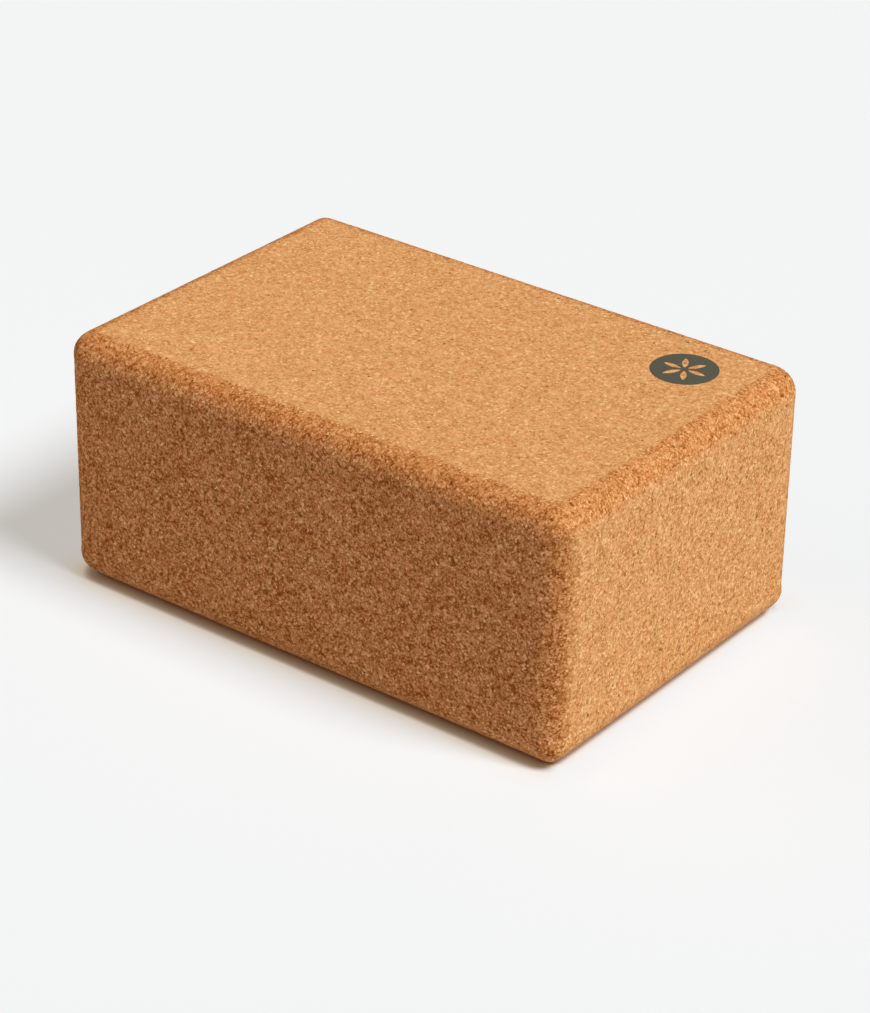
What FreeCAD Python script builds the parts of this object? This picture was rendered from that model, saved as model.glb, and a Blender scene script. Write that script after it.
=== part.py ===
import FreeCAD, Part
import os

# A cork yoga block: one pressed block of cork granules with all its edges rounded over,
# and a small round ink print on its top face, near one corner. Lengths are in millimetres.
# X runs along the block, Y across it and Z up. The origin is the middle of the base.

# Cork block
block_length = 228.6
block_width = 152.4
block_height = 101.6
edge_round = 12.0  # radius of the upright edges and of the edges round the base
top_round = 10.0  # radius of the edges round the top

# Ink print, near the +X, +Y corner of the top face
print_diameter = 25.4
print_thickness = 0.1
print_from_end = 34.0  # centre of the print to the +X end face
print_from_side = 31.0  # centre of the print to the +Y side face

# Petals that the ink leaves bare, set round the centre of the print
petal_count = 6
petal_start = 1.4  # centre of the print to a petal's inner tip
petal_length = 7.6
petal_width = 2.4

centre = FreeCAD.Vector(0, 0, 0)
up = FreeCAD.Vector(0, 0, 1)
flatness = 0.01  # how far an edge may stray from a plane that it lies in


def rims_the_top(edge):
    """True for an edge that lies whole in the plane of the top face."""
    return edge.BoundBox.ZMin > block_height - flatness


def make_cork_block():
    """A box rounded at its uprights and base together, then along the whole rim of its top."""
    base_corner = FreeCAD.Vector(-block_length / 2, -block_width / 2, 0)
    block = Part.makeBox(block_length, block_width, block_height, base_corner)
    block = block.makeFillet(edge_round, [edge for edge in block.Edges if not rims_the_top(edge)])
    return block.makeFillet(top_round, [edge for edge in block.Edges if rims_the_top(edge)])


def make_petal(turn):
    """A flat lens of two equal arcs, whose tips lie on a line through the centre."""
    inner_tip = FreeCAD.Vector(petal_start, 0, 0)
    outer_tip = FreeCAD.Vector(petal_start + petal_length, 0, 0)
    middle = (inner_tip + outer_tip) / 2
    bulge = FreeCAD.Vector(0, petal_width / 2, 0)
    left_arc = Part.Arc(inner_tip, middle + bulge, outer_tip).toShape()
    right_arc = Part.Arc(outer_tip, middle - bulge, inner_tip).toShape()
    petal = Part.Face(Part.Wire([left_arc, right_arc]))
    petal.rotate(centre, up, turn)
    return petal


def make_ink_print():
    """A thin round film that lies on the top face, open at the petals."""
    disc = Part.Face(Part.Wire(Part.makeCircle(print_diameter / 2, centre, up)))
    petals = [make_petal(360.0 * index / petal_count) for index in range(petal_count)]
    film = disc.cut(petals).extrude(up * print_thickness)
    along = block_length / 2 - print_from_end
    across = block_width / 2 - print_from_side
    film.translate(FreeCAD.Vector(along, across, block_height))
    return film


pieces = {
    "cork_block": make_cork_block(),
    "ink_print": make_ink_print(),
}

os.makedirs("parts", exist_ok=True)
for name, shape in pieces.items():
    shape.exportStep(f"parts/{name}.step")
    box = shape.BoundBox
    print(
        f"{name}: valid {shape.isValid()}, {len(shape.Solids)} solid, {shape.Volume:.1f} mm3, "
        f"{box.XLength:.2f} x {box.YLength:.2f} x {box.ZLength:.2f} mm, from z {box.ZMin:.2f}"
    )
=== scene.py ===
import bmesh
import bpy
import math
import random
from mathutils import Matrix, Vector, noise
from mathutils.bvhtree import BVHTree
from mathutils.kdtree import KDTree


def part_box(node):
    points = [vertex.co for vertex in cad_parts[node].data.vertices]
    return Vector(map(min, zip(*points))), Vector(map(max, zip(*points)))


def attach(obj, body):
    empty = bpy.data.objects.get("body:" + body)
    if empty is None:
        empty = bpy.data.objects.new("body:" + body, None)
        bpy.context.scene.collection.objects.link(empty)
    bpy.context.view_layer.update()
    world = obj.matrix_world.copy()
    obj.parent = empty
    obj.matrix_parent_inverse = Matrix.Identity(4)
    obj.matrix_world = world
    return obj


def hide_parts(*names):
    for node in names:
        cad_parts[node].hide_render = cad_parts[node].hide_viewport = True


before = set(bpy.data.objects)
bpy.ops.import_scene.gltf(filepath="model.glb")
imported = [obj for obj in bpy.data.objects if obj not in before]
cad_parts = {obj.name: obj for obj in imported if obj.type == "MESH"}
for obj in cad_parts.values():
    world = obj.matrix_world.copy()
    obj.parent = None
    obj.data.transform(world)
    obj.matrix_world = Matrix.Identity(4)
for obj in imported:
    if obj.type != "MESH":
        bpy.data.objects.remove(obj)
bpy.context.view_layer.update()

mm = 0.001  # in metres


class Wire:
    # one output socket of a finish; sums written on wires become Math nodes
    def __init__(self, finish, socket):
        self.finish = finish
        self.socket = socket

    def math(self, operation, *values):
        return self.finish.node("ShaderNodeMath", {"operation": operation}, dict(enumerate(values)))

    def __add__(self, other):
        return self.math("ADD", self, other)

    def __radd__(self, other):
        return self.math("ADD", other, self)

    def __sub__(self, other):
        return self.math("SUBTRACT", self, other)

    def __rsub__(self, other):
        return self.math("SUBTRACT", other, self)

    def __mul__(self, other):
        return self.math("MULTIPLY", self, other)

    def __rmul__(self, other):
        return self.math("MULTIPLY", other, self)

    def __abs__(self):
        return self.math("ABSOLUTE", self)

    def root(self):
        return self.math("SQRT", self)

    def most(self, other):
        return self.math("MAXIMUM", self, other)

    def rise(self, start, end):
        # smooth step from 0 at start to 1 at end
        sockets = {0: self, 1: start, 2: end, 3: 0.0, 4: 1.0}
        return self.finish.node("ShaderNodeMapRange", {"interpolation_type": "SMOOTHSTEP"}, sockets)

    def beside(self, output):
        # another output of the same node
        return Wire(self.finish, self.socket.node.outputs[output])


class Finish:
    # a material or the world while its nodes are laid
    def __init__(self, owner):
        owner.use_nodes = True
        self.owner = owner
        self.tree = owner.node_tree
        self.tree.nodes.clear()

    def node(self, kind, settings=None, sockets=None, output=0):
        made = self.tree.nodes.new(kind)
        for name, value in (settings or {}).items():
            if name == "stops":
                self.setStops(made.color_ramp, value)
            else:
                setattr(made, name, value)
        for name, value in (sockets or {}).items():
            if isinstance(value, Wire):
                self.tree.links.new(value.socket, made.inputs[name])
            else:
                made.inputs[name].default_value = value
        return Wire(self, made.outputs[output]) if made.outputs else made

    def setStops(self, ramp, stops):
        while len(ramp.elements) < len(stops):
            ramp.elements.new(1.0)
        for element, (position, colour) in zip(ramp.elements, stops):
            element.position = position
            element.color = (*colour, 1.0)

    def mix(self, factor, first, second, mode="MIX"):
        sockets = {0: factor, 6: first, 7: second}
        return self.node("ShaderNodeMix", {"data_type": "RGBA", "blend_type": mode}, sockets, 2)

    def vector(self, operation, first, second):
        return self.node("ShaderNodeVectorMath", {"operation": operation}, {0: first, 1: second})

    def parts(self, vector):
        first = self.node("ShaderNodeSeparateXYZ", {}, {0: vector})
        return first, first.beside(1), first.beside(2)

    def attribute(self, name):
        return self.node("ShaderNodeAttribute", {"attribute_name": name}, {}, "Fac")

    def cells(self, place, scale):
        sockets = {"Vector": place, "Scale": scale}
        return self.node("ShaderNodeTexVoronoi", {}, sockets, "Distance")

    def cloud(self, place, scale, detail, output=0):
        sockets = {"Vector": place, "Scale": scale, "Detail": detail}
        return self.node("ShaderNodeTexNoise", {}, sockets, output)


def makePiece(name, bm, material):
    mesh = bpy.data.meshes.new(name)
    bm.to_mesh(mesh)
    bm.free()
    for face in mesh.polygons:
        face.use_smooth = True
    mesh.materials.append(material)
    piece = bpy.data.objects.new(name, mesh)
    bpy.context.scene.collection.objects.link(piece)
    return piece


# Cork block: its form

blockForm = {
    "edgeRound": 12.0 * mm,  # upright edges and edges round the base
    "topRound": 10.0 * mm,  # edges round the top
    # how square each corner turns, by its X and Y side: 0 turns as a ball does
    "topSquare": {(-1, -1): 1.0, (1, -1): 1.0, (1, 1): 0.3, (-1, 1): 4.0},
    "baseSquare": {(-1, -1): 1.5, (1, -1): 5.0, (1, 1): 3.0, (-1, 1): 2.0},
    "fineBand": 14.0 * mm,  # strip beside every edge where the mesh lines lie close
    "fineStep": 0.85 * mm,
    "wideStep": 1.5 * mm,
    "grainLength": 2.2 * mm,
    "seamWidth": 0.35,  # of that length
    "grainDepth": (0.03 * mm, 0.10 * mm),  # on the flats and on the rounded edges
    "pitShare": (0.0004, 0.004),  # of mesh points with a torn-out granule, on the same two
    "pitRadius": (0.7 * mm, 1.5 * mm),  # least and most
    "pitDepth": 0.25,  # of its radius
    "seed": 7,
    # open, freshly cut grain, with painted shade, along the top rim and the uprights, by slopes and
    # turns in degrees
    "rimSlope": 55.0,  # where the rim shows it most
    "rimAbove": (22.0, 38.0),  # how far above that slope it stays full, and is gone
    "rimFull": (20.0, 8.0),  # how far below it stays full, on the ends and on the long sides
    "rimGone": (61.0, 42.0),  # and is gone there
    "uprightShare": 0.9,
    "uprightTurn": (6.0, 36.0),  # how far round from an upright's middle it stays full, and is gone
    "uprightSlope": (10.0, 45.0),  # and how far up or down from level
    # strength of the grain's light and dark
    "grainContrast": (0.64, 0.99, 0.435),  # of faces square to X, Y and Z
    "cutContrast": 0.35,  # more of it where the grain is cut open
    "cutLeast": 0.92,  # and the least of it there
}

blockLow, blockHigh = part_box("cork_block")
blockMiddle = (blockLow + blockHigh) / 2
blockHalf = (blockHigh - blockLow) / 2


def meshLines(half):
    band = blockForm["fineBand"]
    fine = round(band / blockForm["fineStep"])
    wide = round(2 * (half - band) / blockForm["wideStep"])
    outer = [-half + band * step / fine for step in range(fine)]
    inner = [(half - band) * (2 * step / wide - 1) for step in range(wide + 1)]
    return outer + inner + [-line for line in reversed(outer)]


def makeGrid():
    # a unit cube cut evenly, then spread to the mesh lines of a sharp box round the origin
    lines = [meshLines(half) for half in blockHalf]
    bm = bmesh.new()
    bmesh.ops.create_cube(bm, size=1.0)
    for axis in range(3):
        spans = {edge: abs(edge.verts[1].co[axis] - edge.verts[0].co[axis]) for edge in bm.edges}
        edges = [edge for edge, span in spans.items() if span > 0.5]
        bmesh.ops.subdivide_edges(bm, edges=edges, cuts=len(lines[axis]) - 2, use_grid_fill=True)
    for vert in bm.verts:
        vert.co = [line[round((along + 0.5) * (len(line) - 1))] for line, along in zip(lines, vert.co)]
    return bm


def rimRound(offset):
    return blockForm["topRound"] if offset.z > 0 else blockForm["edgeRound"]


def cornerSquare(offset):
    corners = blockForm["topSquare"] if offset.z > 0 else blockForm["baseSquare"]
    return corners[1 if offset.x > 0 else -1, 1 if offset.y > 0 else -1]


def roundOver(offset):
    # takes a point of the sharp box to the rounded block
    corner, edge = blockForm["edgeRound"], rimRound(offset)
    core = Vector((
        max(-blockHalf.x + corner, min(blockHalf.x - corner, offset.x)),
        max(-blockHalf.y + corner, min(blockHalf.y - corner, offset.y)),
    ))
    reach = offset.xy - core
    outward = max(abs(reach.x), abs(reach.y))
    side = outward - (corner - edge)
    lift = abs(offset.z) - (blockHalf.z - edge)
    climb = math.atan2(max(lift, 0.0), max(side, 0.0)) / math.radians(90)
    height = offset.z
    if side > 0 and lift > 0:
        turn = max(side, lift) / math.hypot(side, lift)
        outward = corner - edge + side * turn
        height = math.copysign(blockHalf.z - edge + lift * turn, offset.z)
    if outward > 0:
        power = 2 + climb * cornerSquare(offset)
        span = (abs(reach.x) ** power + abs(reach.y) ** power) ** (1 / power)
        core += reach * outward / span
    return Vector((core.x, core.y, height))


def bendShare(normal):
    # 0 on the flat faces, 1 halfway round an edge
    return min(1.0, math.acos(min(1.0, max(abs(part) for part in normal))) / math.radians(45))


def blend(pair, share):
    return pair[0] * (1 - share) + pair[1] * share


def hump(value, middle, full, gone):
    # 1 within a distance from the middle, easing to 0 at a larger one
    fall = max(0.0, min(1.0, (abs(value - middle) - full) / (gone - full)))
    return 1 - fall * fall * (3 - 2 * fall)


def cutGrainAndShadeShare(normal):
    # how much open grain and painted shade show: along the top rim and the uprights, not at the base
    slope = math.degrees(math.asin(max(-1.0, min(1.0, normal.z))))
    turn = math.degrees(math.atan2(abs(normal.y), abs(normal.x)))
    full, gone = blockForm["rimAbove"]
    if slope < blockForm["rimSlope"]:
        full = blend(blockForm["rimFull"], turn / 90)
        gone = blend(blockForm["rimGone"], turn / 90)
    rim = hump(slope, blockForm["rimSlope"], full, gone)
    upright = hump(turn, 45, *blockForm["uprightTurn"]) * hump(slope, 0, *blockForm["uprightSlope"])
    return max(rim, blockForm["uprightShare"] * upright)


def grainSeam(point):
    # 1 in the seam between two granules, 0 on their backs
    near, far = noise.voronoi(point / blockForm["grainLength"])[0][:2]
    return max(0.0, 1.0 - (far - near) / blockForm["seamWidth"])


def makePits(bm, bends):
    # depth of the torn-out granules at every mesh point
    chance = random.Random(blockForm["seed"])
    tree = KDTree(len(bm.verts))
    for vert in bm.verts:
        tree.insert(vert.co, vert.index)
    tree.balance()
    pits = [0.0] * len(bm.verts)
    for vert, bend in zip(bm.verts, bends):
        if chance.random() < blend(blockForm["pitShare"], bend):
            radius = chance.uniform(*blockForm["pitRadius"])
            for _, index, distance in tree.find_range(vert.co, radius):
                bowl = (1 - (distance / radius) ** 2) * radius * blockForm["pitDepth"]
                pits[index] = max(pits[index], bowl)
    return pits


def makeBlock():
    bm = makeGrid()
    for vert in bm.verts:
        vert.co = blockMiddle + roundOver(vert.co)
    bm.normal_update()
    bm.verts.index_update()
    normals = [vert.normal.copy() for vert in bm.verts]
    bends = [bendShare(normal) for normal in normals]
    pits = makePits(bm, bends)

    # what the cork's finish reads at every mesh point
    pitLayer = bm.verts.layers.float.new("pit")  # depth in millimetres
    # cut: open grain along the rims and uprights, partly painted shade
    cutGrainAndShadeLayer = bm.verts.layers.float.new("cut")
    # side: share of the painted shade that makes the long sides darker and redder
    sidePaintedShadeLayer = bm.verts.layers.float.new("side")
    contrastLayer = bm.verts.layers.float.new("grainContrast")
    for vert, normal, bend, pit in zip(bm.verts, normals, bends, pits):
        cut = cutGrainAndShadeShare(normal)
        level = sum(face * part ** 2 for face, part in zip(blockForm["grainContrast"], normal))
        raised = level * (1 + blockForm["cutContrast"] * cut)
        vert[pitLayer] = pit / mm
        vert[cutGrainAndShadeLayer] = cut
        vert[sidePaintedShadeLayer] = normal.y ** 2
        vert[contrastLayer] = max(raised, blend((level, blockForm["cutLeast"]), cut))
        vert.co -= normal * (grainSeam(vert.co) * blend(blockForm["grainDepth"], bend) + pit)
    print("block mesh", len(bm.verts), "points,", len(bm.faces), "faces")
    return bm


# Cork: its finish

corkLook = {
    # cells and clouds, as counts per millimetre
    "warpScale": 0.9,
    "warpReach": 0.5,  # millimetres
    "granuleScale": 0.72,
    "crumbScale": 1.3,
    "holeScale": 0.22,  # of the cells that hold the holes and chips
    "holeShift": (13.0, 61.0, 43.0),  # millimetres, away from the granules' own cells
    "gritScale": 1.7,
    "clumpScale": 0.30,
    "patchScale": 0.16,
    "mottleScale": 0.035,
    # how far each moves the tone
    "middleTone": 0.50,
    "crumbWeight": 0.40,
    "domeWeight": 0.50,  # of a crumb's pale middle and dark rim
    "domeEdge": 0.42,  # where one passes into the other, in cell widths from the middle
    "gritWeight": 0.70,
    "granuleWeight": 0.32,
    "clumpWeight": 0.36,
    "mottleWeight": 0.08,
    "chipWeight": 0.16,
    "sidePaintedShade": 0.10,  # painted shade: tone that the long sides are down
    # each cell draws a number from 0 to 1: past these it is pale or a chip, or no longer dark
    "paleCrumbDraw": (0.89, 0.91),
    "paleGranuleDraw": (0.95, 0.96),
    "darkCrumbDraw": (0.08, 0.10),
    "chipDraw": (0.91, 0.93),
    # how strong those are: a start and what the cell's own tone adds
    "paleCrumb": (0.35, 0.75),
    "paleGranule": (0.0, 0.80),
    "darkCrumb": (0.50, 0.60),
    # how strongly each shows: a start and what the grain's contrast adds
    "coarseLevel": (0.20, 0.50),
    "paleLevel": (0.05, 0.38),
    "darkLevel": (0.06, 0.28),
    "hueLevel": (0.45, 0.35),
    # chips and hollows, in cell widths from a cell's middle
    "chipEdge": (0.34, 0.40),
    "chipCalm": 0.6,  # how free a chip is of crumbs and patches
    "holeLeast": 0.60,  # draw from which a cell has a hole
    "holeReach": 0.36,  # how fast holes grow with the draw past that
    "holeEdge": (-0.01, 0.03),
    # painted shade in the holes and in the torn-out pits
    "holeShade": 0.75,
    "pitEdge": (0.05, 0.5),  # depths in millimetres where a pit's painted shade starts, and is darkest
    "pitShade": 0.5,
    # colours
    "tones": [
        (0.00, (0.265, 0.071, 0.010)),
        (0.25, (0.513, 0.208, 0.058)),
        (0.50, (0.744, 0.376, 0.148)),
        (0.75, (0.905, 0.534, 0.254)),
        (1.00, (0.985, 0.675, 0.365)),
    ],
    "ruddy": (1.06, 0.93, 0.93, 1.0),
    "olive": (0.95, 1.05, 0.97, 1.0),
    # colour of the painted shade in holes and pits
    "hollowPaintedShade": (0.18, 0.055, 0.010, 1.0),
    # darker, redder tint of the cut grain, partly painted shade on the rounded edges
    "cutGrainAndShadeTint": (0.84, 0.71, 0.60, 1.0),
    "cutPatches": 1.5,  # how unevenly that tint lies
    # painted shade: redder tint of the long sides
    "sidePaintedShadeTint": (1.0, 0.89, 0.91, 1.0),
    # relief and sheen
    "gritHeight": 0.5,
    "granuleFall": 0.7,
    "crumbFall": 0.5,
    "darkFall": 0.5,
    "bumpDepth": 0.08 * mm,
    "bumpStrength": 0.35,
    "roughness": 0.9,
    "gloss": 0.05,
}


def atLevel(pair, level):
    # a start, and what is added as the level goes from 0 to 1
    return pair[0] + level * pair[1]


def bentPlace(finish, place):
    # bends the granules' straight borders
    sway = finish.cloud(place, corkLook["warpScale"], 1.0, "Color")
    sway = finish.vector("SUBTRACT", sway, (0.5, 0.5, 0.5))
    sway = finish.vector("MULTIPLY", sway, (2 * corkLook["warpReach"],) * 3)
    return finish.vector("ADD", place, sway)


def layCork(finish, contrast):
    # colour and height of the cork
    look = corkLook
    place = finish.node("ShaderNodeTexCoord", {}, {}, "Object")
    place = finish.vector("MULTIPLY", place, (1 / mm,) * 3)
    bent = bentPlace(finish, place)
    granule = finish.cells(bent, look["granuleScale"])
    granuleTone, granuleKind = finish.parts(granule.beside("Color"))[::2]
    crumb = finish.cells(bent, look["crumbScale"])
    crumbTone, crumbKind = finish.parts(crumb.beside("Color"))[::2]
    holeNear = finish.cells(finish.vector("ADD", bent, look["holeShift"]), look["holeScale"])
    holeSize, chipTone, chipKind = finish.parts(holeNear.beside("Color"))
    grit = finish.cloud(place, look["gritScale"], 2.0)
    clump = finish.cloud(place, look["clumpScale"], 2.0)
    patch = finish.cloud(place, look["patchScale"], 1.0)
    mottle = finish.cloud(place, look["mottleScale"], 2.0)
    pit, cut, side = [finish.attribute(name) for name in ("pit", "cut", "side")]

    chip = chipKind.rise(*look["chipDraw"]) * (1 - holeNear.rise(*look["chipEdge"]))
    calm = 1 - chip * look["chipCalm"]
    fine = (crumbTone - 0.5) * look["crumbWeight"] + (look["domeEdge"] - crumb) * look["domeWeight"]
    fine = (fine + (grit - 0.5) * look["gritWeight"]) * calm
    coarse = (granuleTone - 0.5) * look["granuleWeight"] + (clump - 0.5) * look["clumpWeight"]
    pale = crumbKind.rise(*look["paleCrumbDraw"]) * atLevel(look["paleCrumb"], crumbTone)
    paleGranule = granuleKind.rise(*look["paleGranuleDraw"]) * atLevel(look["paleGranule"], granuleTone)
    pale = pale.most(paleGranule)
    dark = (1 - crumbKind.rise(*look["darkCrumbDraw"])) * atLevel(look["darkCrumb"], crumbTone)

    tone = look["middleTone"] + fine * contrast + coarse * atLevel(look["coarseLevel"], contrast)
    tone = tone + pale * atLevel(look["paleLevel"], contrast)
    # the long sides take a painted shade, a lower tone here and a redder tint below
    tone = tone - dark * atLevel(look["darkLevel"], contrast) - side * look["sidePaintedShade"]
    tone = tone + (mottle - 0.5) * look["mottleWeight"] + chip * (chipTone - 0.5) * look["chipWeight"]
    colour = finish.node("ShaderNodeValToRGB", {"stops": look["tones"]}, {0: tone})

    hue = (0.5 + (patch - 0.5) * atLevel(look["hueLevel"], contrast)) * calm
    cut = cut * (1 + (patch + mottle - 1) * look["cutPatches"])
    colour = finish.mix(1.0, colour, finish.mix(hue, look["ruddy"], look["olive"]), "MULTIPLY")
    # painted shade: the long sides tinted redder
    colour = finish.mix(side, colour, look["sidePaintedShadeTint"], "MULTIPLY")
    # the rims and uprights take the tint of cut grain and painted shade
    colour = finish.mix(cut, colour, look["cutGrainAndShadeTint"], "MULTIPLY")

    holeRim = (holeSize - look["holeLeast"]) * look["holeReach"]
    hole = (1 - (holeNear - holeRim).rise(*look["holeEdge"])) * (1 - chip)
    # painted shade in the holes and in the pits, darker in deeper pits
    hollowShade = (hole * look["holeShade"]).most(pit.rise(*look["pitEdge"]) * look["pitShade"])
    colour = finish.mix(hollowShade, colour, look["hollowPaintedShade"])
    height = grit * look["gritHeight"] - granule * look["granuleFall"] - crumb * look["crumbFall"]
    return colour, height - dark * look["darkFall"] - hole


def coat(finish, look, colour, height):
    # closes a finish with its bump and shader
    bump = {"Strength": look["bumpStrength"], "Distance": look["bumpDepth"], "Height": height}
    sockets = {
        "Base Color": colour,
        "Roughness": look["roughness"],
        "Specular IOR Level": look["gloss"],
        "Normal": finish.node("ShaderNodeBump", {}, bump),
    }
    shader = finish.node("ShaderNodeBsdfPrincipled", {}, sockets)
    finish.node("ShaderNodeOutputMaterial", {}, {"Surface": shader})
    return finish.owner


def makeCorkFinish():
    finish = Finish(bpy.data.materials.new("pressed cork"))
    colour, height = layCork(finish, finish.attribute("grainContrast"))
    return coat(finish, corkLook, colour, height)


corkFinish = makeCorkFinish()
corkBlock = makeBlock()
blockSurface = BVHTree.FromBMesh(corkBlock)
corkPiece = makePiece("pressed_cork", corkBlock, corkFinish)
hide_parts("cork_block")
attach(corkPiece, "root")
print("cork block done")


# Ink print

inkPrint = {
    "petals": 6,
    "petalStart": 1.4 * mm,  # centre of the print to a petal's inner tip
    "petalLength": 7.6 * mm,
    "petalWidth": 2.4 * mm,
    "stations": (3, 18, 9),  # mesh rings inside, along and outside the petals
    "across": 8,  # mesh faces between a petal and the web's middle
    "mergeGap": 0.01 * mm,
    "probeHeight": 5.0 * mm,  # over the print, where the search for the cork below it starts
    "sunk": 0.03 * mm,  # under side below the cork's surface
    "depth": 0.09 * mm,
    "colour": (0.062, 0.069, 0.052, 1.0),
    "cover": 0.97,  # how much of the cork's colour the ink hides
    "grainContrast": 0.5,
    "bumpDepth": 0.08 * mm,
    "bumpStrength": 0.4,
    "roughness": 0.8,
    "gloss": 0.2,
}

printLow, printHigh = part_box("ink_print")
printMiddle = (printLow + printHigh) / 2
printRadius = (printHigh.x - printLow.x) / 2


def petalSide(radius):
    # angle from a petal's axis to its rim, at this distance from the centre of the print
    start, length, width = inkPrint["petalStart"], inkPrint["petalLength"], inkPrint["petalWidth"]
    if not start < radius < start + length:
        return 0.0
    middle = start + length / 2
    sink = ((length / 2) ** 2 - (width / 2) ** 2) / width  # centre of the rim's arc below the axis
    arc = sink + width / 2
    away = math.hypot(middle, sink)
    swing = (radius ** 2 + away ** 2 - arc ** 2) / (2 * radius * away)
    return math.acos(max(-1.0, min(1.0, swing))) - math.atan2(sink, middle)


def ringRadii():
    start, end = inkPrint["petalStart"], inkPrint["petalStart"] + inkPrint["petalLength"]
    spans = zip((0.0, start, end), (start, end, printRadius), inkPrint["stations"])
    radii = [low + (high - low) * step / count for low, high, count in spans for step in range(count)]
    return radii + [printRadius]


def makeRosette():
    # flat film round the origin: half a petal's web, mirrored and spun
    radii = ringRadii()
    web = math.pi / inkPrint["petals"]
    bm = bmesh.new()
    bmesh.ops.create_grid(bm, x_segments=inkPrint["across"], y_segments=len(radii) - 1, size=0.5)
    for vert in bm.verts:
        radius = radii[round((vert.co.y + 0.5) * (len(radii) - 1))]
        rim = petalSide(radius)
        angle = rim + (web - rim) * (vert.co.x + 0.5)
        vert.co = Vector((radius * math.cos(angle), radius * math.sin(angle), 0.0))
    # below zero, mirror merges nothing: the doubles go all at once, after the spin
    bmesh.ops.mirror(bm, geom=bm.verts[:] + bm.edges[:] + bm.faces[:], axis="Y", merge_dist=-1.0)
    bmesh.ops.spin(
        bm,
        geom=bm.verts[:] + bm.edges[:] + bm.faces[:],
        axis=(0, 0, 1),
        angle=2 * math.pi * (1 - 1 / inkPrint["petals"]),
        steps=inkPrint["petals"] - 1,
        use_duplicate=True,
    )
    bmesh.ops.remove_doubles(bm, verts=bm.verts[:], dist=inkPrint["mergeGap"])
    return bm


def orderFaces(bm):
    # an extrusion leaves its walls in another order on each run
    bm.verts.index_update()
    ordered = sorted(bm.faces, key=lambda face: sorted(vert.index for vert in face.verts))
    for index, face in enumerate(ordered):
        face.index = index
    bm.faces.sort()


def makeInk():
    # lays the rosette on the cork and thickens it
    bm = makeRosette()
    bmesh.ops.translate(bm, verts=bm.verts[:], vec=(printMiddle.x, printMiddle.y, 0.0))
    for vert in bm.verts:
        probe = Vector((vert.co.x, vert.co.y, printHigh.z + inkPrint["probeHeight"]))
        spot = blockSurface.ray_cast(probe, Vector((0, 0, -1)))[0]
        vert.co.z = spot.z - inkPrint["sunk"]
    raised = bmesh.ops.extrude_face_region(bm, geom=bm.faces[:])["geom"]
    raised = [item for item in raised if isinstance(item, bmesh.types.BMVert)]
    bmesh.ops.translate(bm, verts=raised, vec=(0.0, 0.0, inkPrint["depth"]))
    bmesh.ops.recalc_face_normals(bm, faces=bm.faces[:])
    orderFaces(bm)
    loose = sum(not edge.is_manifold for edge in bm.edges)
    print("ink mesh", len(bm.verts), "points,", len(bm.faces), "faces,", loose, "open edges")
    return bm


def makeInkFinish():
    # the cork's own grain, faint under the ink
    finish = Finish(bpy.data.materials.new("print ink"))
    colour, height = layCork(finish, inkPrint["grainContrast"])
    colour = finish.mix(inkPrint["cover"], colour, inkPrint["colour"])
    return coat(finish, inkPrint, colour, height)


inkPiece = makePiece("ink_film", makeInk(), makeInkFinish())
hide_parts("ink_print")
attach(inkPiece, "root")
print("ink print done")


# Floor, light and camera

studio = {
    "floorSize": 12.0,  # metres
    "floorColour": (0.42, 0.45, 0.475, 1.0),  # as the camera sees it
    "contactReach": 24.0 * mm,  # how far from the block's flat base the glow and its painted contact shadow still change
    "paintedShadowGlow": [  # glow added to the lit colour, by the share of that reach: a painted contact shadow near the block, even white far off
        (0.22, (0.05, 0.01, 0.00)),
        (0.36, (0.14, 0.09, 0.05)),
        (0.42, (0.22, 0.16, 0.11)),
        (0.51, (0.455, 0.38, 0.30)),
        (0.68, (0.475, 0.44, 0.39)),
        (1.00, (0.48, 0.465, 0.44)),
    ],
    "litSidePaintedShadowGlow": [  # the same, with a narrower painted contact shadow, beside the end that faces the key light
        (0.23, (0.09, 0.015, 0.00)),
        (0.27, (0.15, 0.05, 0.00)),
        (0.31, (0.365, 0.28, 0.19)),
        (0.36, (0.425, 0.40, 0.36)),
        (0.45, (0.44, 0.44, 0.43)),
        (1.00, (0.48, 0.465, 0.44)),
    ],
    "glowTurn": 5.0 * mm,  # half the width over which one glow passes into the other
    "floorBounce": (0.62, 0.62, 0.62, 1.0),  # as the block sees it
    "backdrop": (0.90, 0.90, 0.90, 1.0),  # the world, as the camera sees it
    "fillColour": (0.020, 0.016, 0.012, 1.0),  # and as the block sees it
    "lamps": {
        "key": {
            "from": (0.590, 0.050, 0.800),
            "strength": 3.62,
            "angle": 22.0,  # how wide the lamp looks, in degrees
            "colour": (0.975, 0.98, 1.0),
        },
        "fill": {
            "from": (-0.75, -0.60, 0.28),
            "strength": 0.81,
            "angle": 60.0,
            "colour": (0.98, 0.85, 0.70),
        },
    },
}

cameraView = {
    "azimuth": 37.15,  # in degrees, as the next two
    "elevation": 28.52,
    "roll": 1.03,
    "aimHeight": 50.8 * mm,
    "distance": 1234.57 * mm,
    "slideRight": 1.73 * mm,
    "slideUp": -12.64 * mm,
    "focalPixels": 3315.57,
    "imageHeight": 1013,
    "sensorSpan": 36.0,  # in millimetres, over the longer side of the image, its height
}


def seenDirectly(finish):
    path = finish.node("ShaderNodeLightPath", {}, {}, "Is Camera Ray")
    return path.most(path.beside("Is Glossy Ray")).most(path.beside("Is Transmission Ray"))


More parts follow.
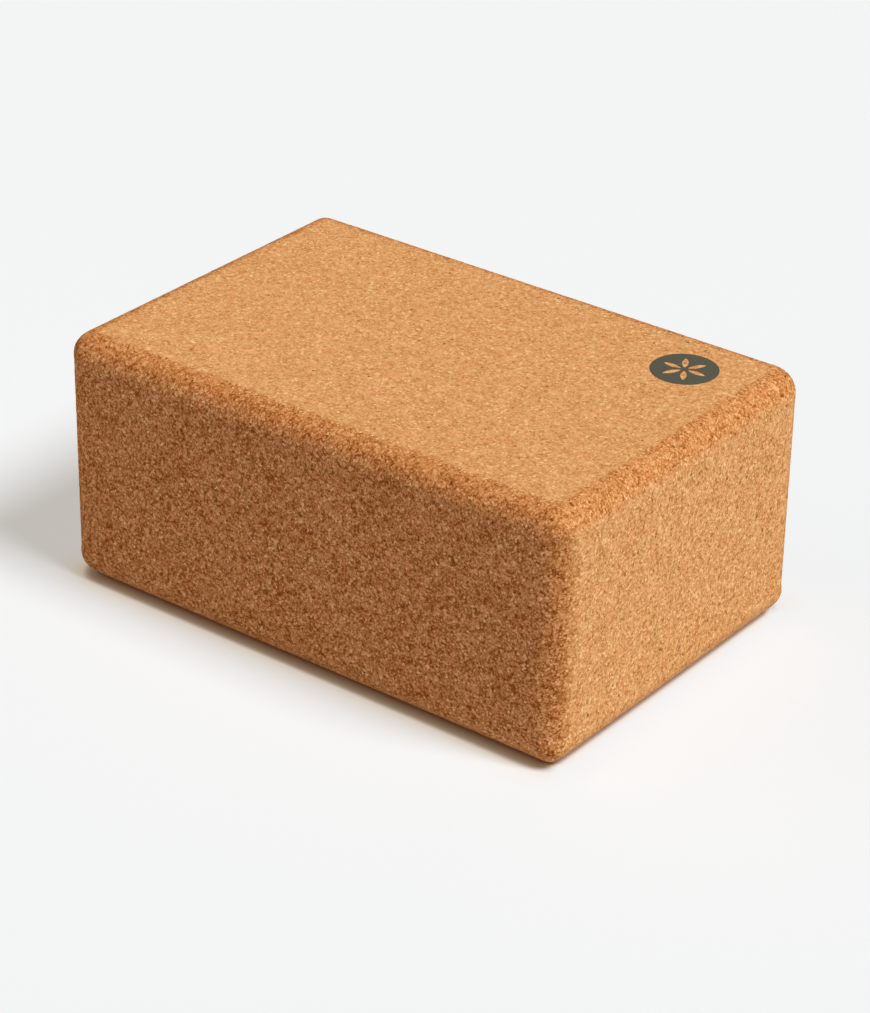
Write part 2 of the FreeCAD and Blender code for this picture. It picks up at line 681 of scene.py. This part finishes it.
def floorGlowAndPaintedShadow(finish):
    # light that the floor gives off by itself, less and warmer beside the block as a painted contact
    # shadow
    along, across = finish.parts(finish.node("ShaderNodeTexCoord", {}, {}, "Object"))[:2]
    pastEnd = (abs(along) - (blockHalf.x - blockForm["edgeRound"])).most(0.0)
    pastSide = (abs(across) - (blockHalf.y - blockForm["edgeRound"])).most(0.0)
    away = (pastEnd * pastEnd + pastSide * pastSide).root() * (1 / studio["contactReach"])
    shade = finish.node("ShaderNodeValToRGB", {"stops": studio["paintedShadowGlow"]}, {0: away})
    lit = finish.node("ShaderNodeValToRGB", {"stops": studio["litSidePaintedShadowGlow"]}, {0: away})
    corner = blockHalf.x - blockHalf.y  # the glows meet on the diagonals through two corners
    litSide = (along - abs(across) - corner).rise(-studio["glowTurn"], studio["glowTurn"])
    return finish.node("ShaderNodeEmission", {}, {"Color": finish.mix(litSide, shade, lit)})


def makeFloor():
    bm = bmesh.new()
    bmesh.ops.create_grid(bm, x_segments=1, y_segments=1, size=studio["floorSize"] / 2)
    finish = Finish(bpy.data.materials.new("pale floor"))
    plain = finish.node("ShaderNodeBsdfDiffuse", {}, {"Color": studio["floorColour"]})
    shown = finish.node("ShaderNodeAddShader", {}, {0: plain, 1: floorGlowAndPaintedShadow(finish)})
    bounce = finish.node("ShaderNodeBsdfDiffuse", {}, {"Color": studio["floorBounce"]})
    surface = finish.node("ShaderNodeMixShader", {}, {0: seenDirectly(finish), 1: bounce, 2: shown})
    finish.node("ShaderNodeOutputMaterial", {}, {"Surface": surface})
    makePiece("floor", bm, finish.owner)


def makeLight():
    scene = bpy.context.scene
    scene.world = scene.world or bpy.data.worlds.new("studio")
    finish = Finish(scene.world)
    fill = finish.node("ShaderNodeBackground", {}, {"Color": studio["fillColour"]})
    backdrop = finish.node("ShaderNodeBackground", {}, {"Color": studio["backdrop"]})
    surface = finish.node("ShaderNodeMixShader", {}, {0: seenDirectly(finish), 1: fill, 2: backdrop})
    finish.node("ShaderNodeOutputWorld", {}, {"Surface": surface})
    for name, settings in studio["lamps"].items():
        lamp = bpy.data.lights.new(name, "SUN")
        lamp.energy = settings["strength"]
        lamp.angle = math.radians(settings["angle"])
        lamp.color = settings["colour"]
        holder = bpy.data.objects.new(name, lamp)
        holder.rotation_euler = Vector(settings["from"]).to_track_quat("Z", "Y").to_euler()
        scene.collection.objects.link(holder)


def makeCamera():
    lens = bpy.data.cameras.new("camera")
    lens.sensor_width = cameraView["sensorSpan"]
    lens.lens = cameraView["focalPixels"] * cameraView["sensorSpan"] / cameraView["imageHeight"]
    turn = (
        Matrix.Rotation(math.radians(cameraView["azimuth"]), 4, "Z")
        @ Matrix.Rotation(math.radians(90 - cameraView["elevation"]), 4, "X")
        @ Matrix.Rotation(math.radians(cameraView["roll"]), 4, "Z")
    )
    aim = Matrix.Translation((0, 0, cameraView["aimHeight"]))
    back = Matrix.Translation((cameraView["slideRight"], cameraView["slideUp"], cameraView["distance"]))
    camera = bpy.data.objects.new("camera", lens)
    camera.matrix_world = aim @ turn @ back
    bpy.context.scene.collection.objects.link(camera)
    bpy.context.scene.camera = camera


makeFloor()
makeLight()
makeCamera()
bpy.context.scene.view_settings.view_transform = "Standard"
print("studio done")
